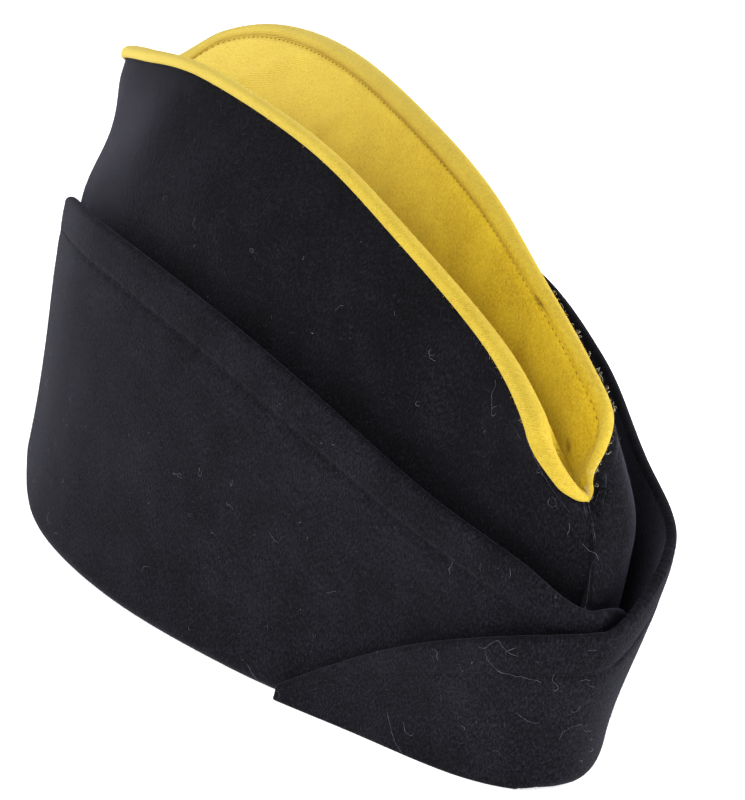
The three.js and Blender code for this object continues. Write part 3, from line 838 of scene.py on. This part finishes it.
def lie_on(face, column_at, row_at, way, stand):
    """A hair from one place on a face, with the normals beside it. way is a list of places to the right
    and up that it passes through, and stand is how far its middle stands off the cloth."""
    outer, normal = face
    out = normal[column_at, row_at]
    up = unit((0, 0, 1) - out * out[2])
    right = np.cross(up, out)
    way = np.array(way, float)
    run = run_along(way)
    share = np.linspace(0, 1, HAIR_POINTS)
    way = on_line(share * run[-1], run, way)
    for _ in range(HAIR_ROUNDING):
        way[1:-1] = (way[:-2] + 2 * way[1:-1] + way[2:]) / 4
    path = outer[column_at, row_at] + way[:, :1] * right + way[:, 1:] * up
    around = slice(max(0, column_at - NEARBY), column_at + NEARBY)
    places = outer[around].reshape(-1, 3)
    nearest = np.argmin(np.linalg.norm(path[:, None] - places[None], axis=-1), axis=1)
    beside = normal[around].reshape(-1, 3)[nearest]
    above = np.sum((path - places[nearest]) * beside, axis=-1)
    lift = HAIR_LIFT + stand * np.sin(math.pi * share)
    return path + beside * (lift - above)[:, None], beside


def loose_hair(rng, shortest, longest):
    """A short hair that curls at random, as places to the right and up."""
    steps = 12
    bend = np.linspace(0, rng.normal(0, 3), steps) + np.cumsum(rng.normal(0, 0.5, steps))
    turn = rng.uniform(0, math.tau) + bend
    step = rng.uniform(shortest, longest) / steps
    return np.cumsum(np.stack((np.cos(turn), np.sin(turn)), axis=-1) * step, axis=0)


def lint(name, faces):
    """Hairs caught in the wool: the ones in the table, then a thin scatter of short ones."""
    rng = np.random.default_rng(LINT_SEED)
    caught = [(on, *hair, CAUGHT_STAND) for on, rows in HAIRS.items() for hair in rows]
    for on, count, shares, heights in LOOSE_HAIRS:
        for _ in range(count):
            place = rng.uniform(*shares), rng.uniform(*heights)
            caught.append((on, *place, loose_hair(rng, *LOOSE_LENGTH), rng.uniform(*LOOSE_STAND)))
    hairs = []
    for on, share, height, way, stand in caught:
        outer = faces[on][0]
        column_at = round(share * (len(outer) - 1))
        row_at = np.argmin(np.abs(outer[column_at, :, 2] - height))
        hairs.append(lie_on(faces[on], column_at, row_at, way, stand))
    return hair_mesh(name, hairs, HAIR_RADIUS)


def edge_fuzz(name, face):
    """Curled fibres that stand along the gusset's left roll."""
    rng = np.random.default_rng(FUZZ_SEED)
    columns, rows = face[0].shape[:2]
    hairs = []
    for _ in range(FUZZ_COUNT):
        column_at = int(np.clip(rng.normal(*FUZZ_PLACE), 0, 1) * (columns - 1))
        way = loose_hair(rng, *FUZZ_LENGTH)
        row_at = rng.integers(*(rows - np.array(FUZZ_ROWS)))
        hairs.append(lie_on(face, column_at, row_at, way, rng.uniform(*FUZZ_STAND)))
    return hair_mesh(name, hairs, FUZZ_RADIUS)


def hair_mesh(name, hairs, radius):
    path, up = (np.array(parts) for parts in zip(*hairs))
    taper = np.sqrt(1 - 0.8 * np.linspace(-1, 1, HAIR_POINTS) ** 8)
    return threads(name, path, up, radius * taper)


# Materials

def linear(code):
    """Linear colour of an sRGB hex value."""
    parts = [int(code[k:k + 2], 16) / 255 for k in (1, 3, 5)]
    return tuple(c / 12.92 if c <= 0.04045 else ((c + 0.055) / 1.055) ** 2.4 for c in parts) + (1.0,)


def link(tree, node, links):
    """Links sockets into a node's inputs. A node in place of a socket gives its first output."""
    for name, source in links.items():
        socket = source.outputs[0] if isinstance(source, bpy.types.Node) else source
        tree.links.new(socket, node.inputs[name])


def add(tree, kind, settings=None, links=None, stops=()):
    """Adds a node, sets its inputs or properties and a ramp's stops, and links others into its inputs."""
    made = tree.nodes.new("ShaderNode" + kind)
    for name, value in (settings or {}).items():
        if isinstance(name, int) or name in made.inputs:
            made.inputs[name].default_value = value
        else:
            setattr(made, name, value)
    link(tree, made, links or {})
    for _ in stops[2:]:
        made.color_ramp.elements.new(0.5)
    for number, (place, code) in enumerate(stops):
        made.color_ramp.elements[number].position = place
        made.color_ramp.elements[number].color = linear(code)
    return made


def new_material(name, settings):
    """A material with its shader's own sockets set."""
    material = bpy.data.materials.new(name)
    material.use_nodes = True
    tree = material.node_tree
    shader = tree.nodes["Principled BSDF"]
    for socket, value in settings.items():
        shader.inputs[socket].default_value = value
    return material, tree, shader


def navy_wool(name, dark, body, pale, bloom):
    """Milled navy wool: a dull, dense felted face with a short nap brushed down the cloth, so it shows
    fine upright streaks, cloudy patches and a violet-grey bloom where it is seen edge on."""
    fibre_width, fibre_length, felt_size, cloud_size = 0.4 * MM, 1.2 * MM, 0.6 * MM, 14 * MM
    material, tree, shader = new_material(name, {
        "Roughness": 0.95, "Specular IOR Level": 0.05,
        "Sheen Weight": bloom, "Sheen Roughness": 0.25, "Sheen Tint": linear("#b4b2cc"),
    })
    cloth = add(tree, "UVMap", {"uv_map": "cloth"})
    place = add(tree, "TexCoord").outputs["Object"]
    fibres = add(tree, "Mapping", {"Scale": (1 / fibre_width, 1 / fibre_length, 1)}, {"Vector": cloth})
    streak = add(tree, "TexNoise", {"Scale": 1, "Detail": 3, "Roughness": 0.6}, {"Vector": fibres})
    felt = add(tree, "TexNoise", {"Scale": 1 / felt_size, "Detail": 3, "Roughness": 0.65}, {"Vector": place})
    cloud = add(tree, "TexNoise", {"Scale": 1 / cloud_size, "Detail": 3, "Roughness": 0.6}, {"Vector": place})
    mixed = add(tree, "Math", {"operation": "MULTIPLY_ADD", 1: 0.35}, {0: cloud, 2: streak})
    tone = add(tree, "Math", {"operation": "MULTIPLY_ADD", 1: 0.6}, {0: felt, 2: mixed})
    level = add(tree, "MapRange", {"From Min": 0.62, "From Max": 1.33}, {"Value": tone})
    colour = add(tree, "ValToRGB", {}, {"Fac": level}, ((0.1, dark), (0.5, body), (0.9, pale)))
    height = add(tree, "Math", {"operation": "MULTIPLY_ADD", 1: 0.8}, {0: streak, 2: felt})
    bump = add(tree, "Bump", {"Strength": 0.55, "Distance": fibre_width}, {"Height": height})
    link(tree, shader, {"Base Color": colour, "Normal": bump})
    return material


def yellow_wool():
    """Fine yellow wool twill, lightly milled: matt, with a faint diagonal rib, warm flecks and soft fuzz.
    Painted light makes it paler towards the back of the cap, painted sheen greys its rolled edges, and it is
    darker with painted shade under the left roll along its stitching and at the marks on the fold's wall."""
    rib_spacing, rib_height, fleck_size, cloud_size = 0.5 * MM, 0.4 * MM, 0.8 * MM, 12 * MM
    rib_angle = math.radians(50)
    one_band = math.tau / 20  # wave scale that draws one band for each unit of its vector
    material, tree, shader = new_material("yellow wool twill", {
        "Roughness": 0.92, "Specular IOR Level": 0.2,
        "Sheen Weight": 0.12, "Sheen Roughness": 0.5, "Sheen Tint": linear("#f6e7a0"),
    })
    cloth = add(tree, "UVMap", {"uv_map": "cloth"})
    place = add(tree, "TexCoord").outputs["Object"]
    ribs = add(tree, "Mapping", {"Rotation": (0, 0, rib_angle), "Scale": (1 / rib_spacing,) * 3},
               {"Vector": cloth})
    rib = add(tree, "TexWave", {"Scale": one_band, "Distortion": 2.2, "Detail": 2, "Detail Scale": 2},
              {"Vector": ribs}).outputs["Fac"]
    fleck = add(tree, "TexNoise", {"Scale": 1 / fleck_size, "Detail": 3, "Roughness": 0.7}, {"Vector": place})
    cloud = add(tree, "TexNoise", {"Scale": 1 / cloud_size, "Detail": 2}, {"Vector": place})
    mixed = add(tree, "Math", {"operation": "MULTIPLY_ADD", 1: 0.16}, {0: rib, 2: fleck})
    tone = add(tree, "Math", {"operation": "MULTIPLY_ADD", 1: 0.4}, {0: cloud, 2: mixed})
    level = add(tree, "MapRange", {"From Min": 0.45, "From Max": 1.05}, {"Value": tone})
    colour = add(tree, "ValToRGB", {}, {"Fac": level}, ((0, "#a4830a"), (0.45, "#c6a616"), (1, "#d9be31")))
    # painted light: the wool is mixed paler towards the back of the cap and left deeper at the front, where
    # the fold is in shade
    length_way = add(tree, "SeparateXYZ", {}, {"Vector": place}).outputs["Y"]
    painted_back_light = add(tree, "MapRange", {"From Min": -60 * MM, "From Max": 110 * MM, "To Max": 0.6},
                 {"Value": length_way})
    # painted sheen that greys the rolled edges
    roll_sheen = add(tree, "Attribute", {"attribute_name": "roll_sheen"}).outputs["Fac"]
    roll_sheen_share = add(tree, "Math", {"operation": "MULTIPLY", 1: 0.4}, {0: roll_sheen})
    # darker where the mesh's mark is set: painted shade under the left roll, a painted shadow at one of the
    # wall's marks, and the other marks
    darkening = add(tree, "Attribute", {"attribute_name": "mark"}).outputs["Fac"]
    for share, code in ((painted_back_light, "#f2df78"), (roll_sheen_share, "#ab9648"), (darkening, "#6b4d08")):
        mix = add(tree, "Mix", {"data_type": "RGBA", 7: linear(code)}, {0: share, 6: colour})
        colour = mix.outputs[2]
    height = add(tree, "Math", {"operation": "MULTIPLY_ADD", 1: 0.4}, {0: rib, 2: fleck})
    bump = add(tree, "Bump", {"Strength": 0.5, "Distance": rib_height}, {"Height": height})
    link(tree, shader, {"Base Color": colour, "Normal": bump})
    return material


def fibre(name, dark, pale):
    """Loose wool fibres: matt, each patch a little lighter or darker than the next."""
    patch_size = 1.5 * MM
    material, tree, shader = new_material(name, {"Roughness": 0.9, "Specular IOR Level": 0.2})
    place = add(tree, "TexCoord").outputs["Object"]
    patch = add(tree, "TexNoise", {"Scale": 1 / patch_size, "Detail": 1}, {"Vector": place})
    colour = add(tree, "ValToRGB", {}, {"Fac": patch}, ((0.35, dark), (0.7, pale)))
    link(tree, shader, {"Base Color": colour})
    return material


def finish(piece, material):
    piece.data.materials.append(material)
    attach(piece, "root")


# The cap

crown_wool = navy_wool("navy wool melton, crown", "#060607", "#0f0f12", "#1f1f26", 0.3)
flap_wool = navy_wool("navy wool melton, flaps", "#070709", "#131317", "#25252d", 0.14)
gusset_wool = yellow_wool()
navy_fibre = fibre("navy wool fibre", "#15151b", "#41414f")
yellow_fibre = fibre("yellow wool fibre", "#c79a1c", "#f0d766")
navy_thread = fibre("navy sewing thread", "#0b0b0e", "#15151a")
yellow_thread = fibre("yellow sewing thread", "#8f6c10", "#b58e1c")
pale_hair = fibre("pale lint hair", "#4e4e57", "#80808a")
pale_fuzz = fibre("pale wool fuzz", "#b9b295", "#e4dfc8")

right_crown, right_face = crown_panel("crown_right_wool", RIGHT)
left_crown, left_face = crown_panel("crown_left_wool", LEFT)
right_flap, right_flap_face, right_stitch = flap("flap_right_wool", RIGHT, RIGHT_WRAP, right_flap_sections)
left_flap, left_flap_face, left_stitch = flap("flap_left_wool", LEFT, LEFT_WRAP, left_flap_sections)
top, top_face, top_stitches = gusset()

for piece, node, material, slot in (
    (right_crown, "crown_right", crown_wool, "navy_wool"),
    (left_crown, "crown_left", crown_wool, "navy_wool"),
    (right_flap, "flap_right", flap_wool, "navy_wool"),
    (left_flap, "flap_left", flap_wool, "navy_wool"),
    (top, "top_gusset", gusset_wool, "yellow_wool"),
):
    finish(piece, material)
    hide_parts(node)

thread_right = stitches("flap_right_topstitch", right_flap_face, right_stitch, **NAVY_STITCH)
thread_left = stitches("flap_left_topstitch", left_flap_face, left_stitch, **NAVY_STITCH)
finish(thread_right, navy_thread)
finish(thread_left, navy_thread)
for side_name, row in zip(("right", "left"), top_stitches):
    thread = stitches(f"top_gusset_topstitch_{side_name}", top_face, row, **YELLOW_STITCH)
    finish(thread, yellow_thread)

navy_faces = {"flap_right": right_flap_face, "flap_left": left_flap_face,
              "crown_right": right_face, "crown_left": left_face}
for seed, (on, count) in enumerate(NAP_COUNTS.items(), NAP_SEED):
    finish(nap(f"{on}_nap", navy_faces[on], seed, count, **NAVY_NAP), navy_fibre)
finish(nap("top_gusset_nap", top_face, YELLOW_NAP_SEED, **YELLOW_NAP), yellow_fibre)
finish(lint("lint_hairs", navy_faces), pale_hair)
for seed, on in enumerate(navy_faces, SPECK_SEED):
    finish(nap(f"{on}_specks", navy_faces[on], seed, **SPECKS), pale_hair)
finish(edge_fuzz("top_gusset_fuzz", top_face), pale_fuzz)


# Floor, light and camera: a white sweep that glows a little under three soft lights

FLOOR_SIZE = 8
FLOOR_GLOW = 0.74
ROOM_GLOW = 0.57
SOFTBOX_SIZE = 1.0
LIGHT_AIM = Vector((0, 0, 0.06))
SOFTBOXES = (
    ("key", (-1.0, -0.9, 1.1), 17),
    ("fill", (1.35, -0.75, 0.5), 29),
    ("back", (-1.2, 0.9, 0.7), 8),
)

bpy.ops.mesh.primitive_plane_add(size=FLOOR_SIZE)
floor = bpy.context.object
floor.name = "floor"
paper, _, _ = new_material("white paper sweep", {
    "Base Color": linear("#fafafa"), "Roughness": 0.9,
    "Emission Color": (1, 1, 1, 1), "Emission Strength": FLOOR_GLOW,
})
floor.data.materials.append(paper)

world = bpy.data.worlds.new("white studio")
bpy.context.scene.world = world
world.use_nodes = True
background = world.node_tree.nodes["Background"]
background.inputs["Color"].default_value = (1, 1, 1, 1)
background.inputs["Strength"].default_value = ROOM_GLOW

for name, place, power in SOFTBOXES:
    lamp = bpy.data.lights.new(name, "AREA")
    lamp.shape = "DISK"
    lamp.size = SOFTBOX_SIZE
    lamp.energy = power
    box = bpy.data.objects.new(name, lamp)
    bpy.context.collection.objects.link(box)
    box.location = place
    box.rotation_euler = (LIGHT_AIM - Vector(place)).to_track_quat("-Z", "Y").to_euler()

CAMERA_AIM = (Vector((-0.5, -34.1, 60.2)) + Vector(MIDDLE)) * MM  # near the cap's middle plane
CAMERA_AZIMUTH = math.radians(-27.1)
CAMERA_ELEVATION = math.radians(19.56)
CAMERA_ROLL = math.radians(3.07)
CAMERA_DISTANCE = 911.7 * MM
FOCAL_PIXELS = 3681.0
PHOTO_HEIGHT = 800
SENSOR = 36.0

lens = bpy.data.cameras.new("camera")
lens.sensor_width = SENSOR
lens.lens = FOCAL_PIXELS * SENSOR / PHOTO_HEIGHT
camera = bpy.data.objects.new("camera", lens)
bpy.context.collection.objects.link(camera)
tilt = Matrix.Rotation(math.pi / 2 - CAMERA_ELEVATION, 3, "X")
upright = Matrix.Rotation(CAMERA_AZIMUTH, 3, "Z") @ tilt
camera.location = CAMERA_AIM + upright.col[2] * CAMERA_DISTANCE
camera.rotation_euler = (upright @ Matrix.Rotation(CAMERA_ROLL, 3, "Z")).to_euler()
bpy.context.scene.camera = camera
bpy.context.scene.view_settings.view_transform = "Standard"
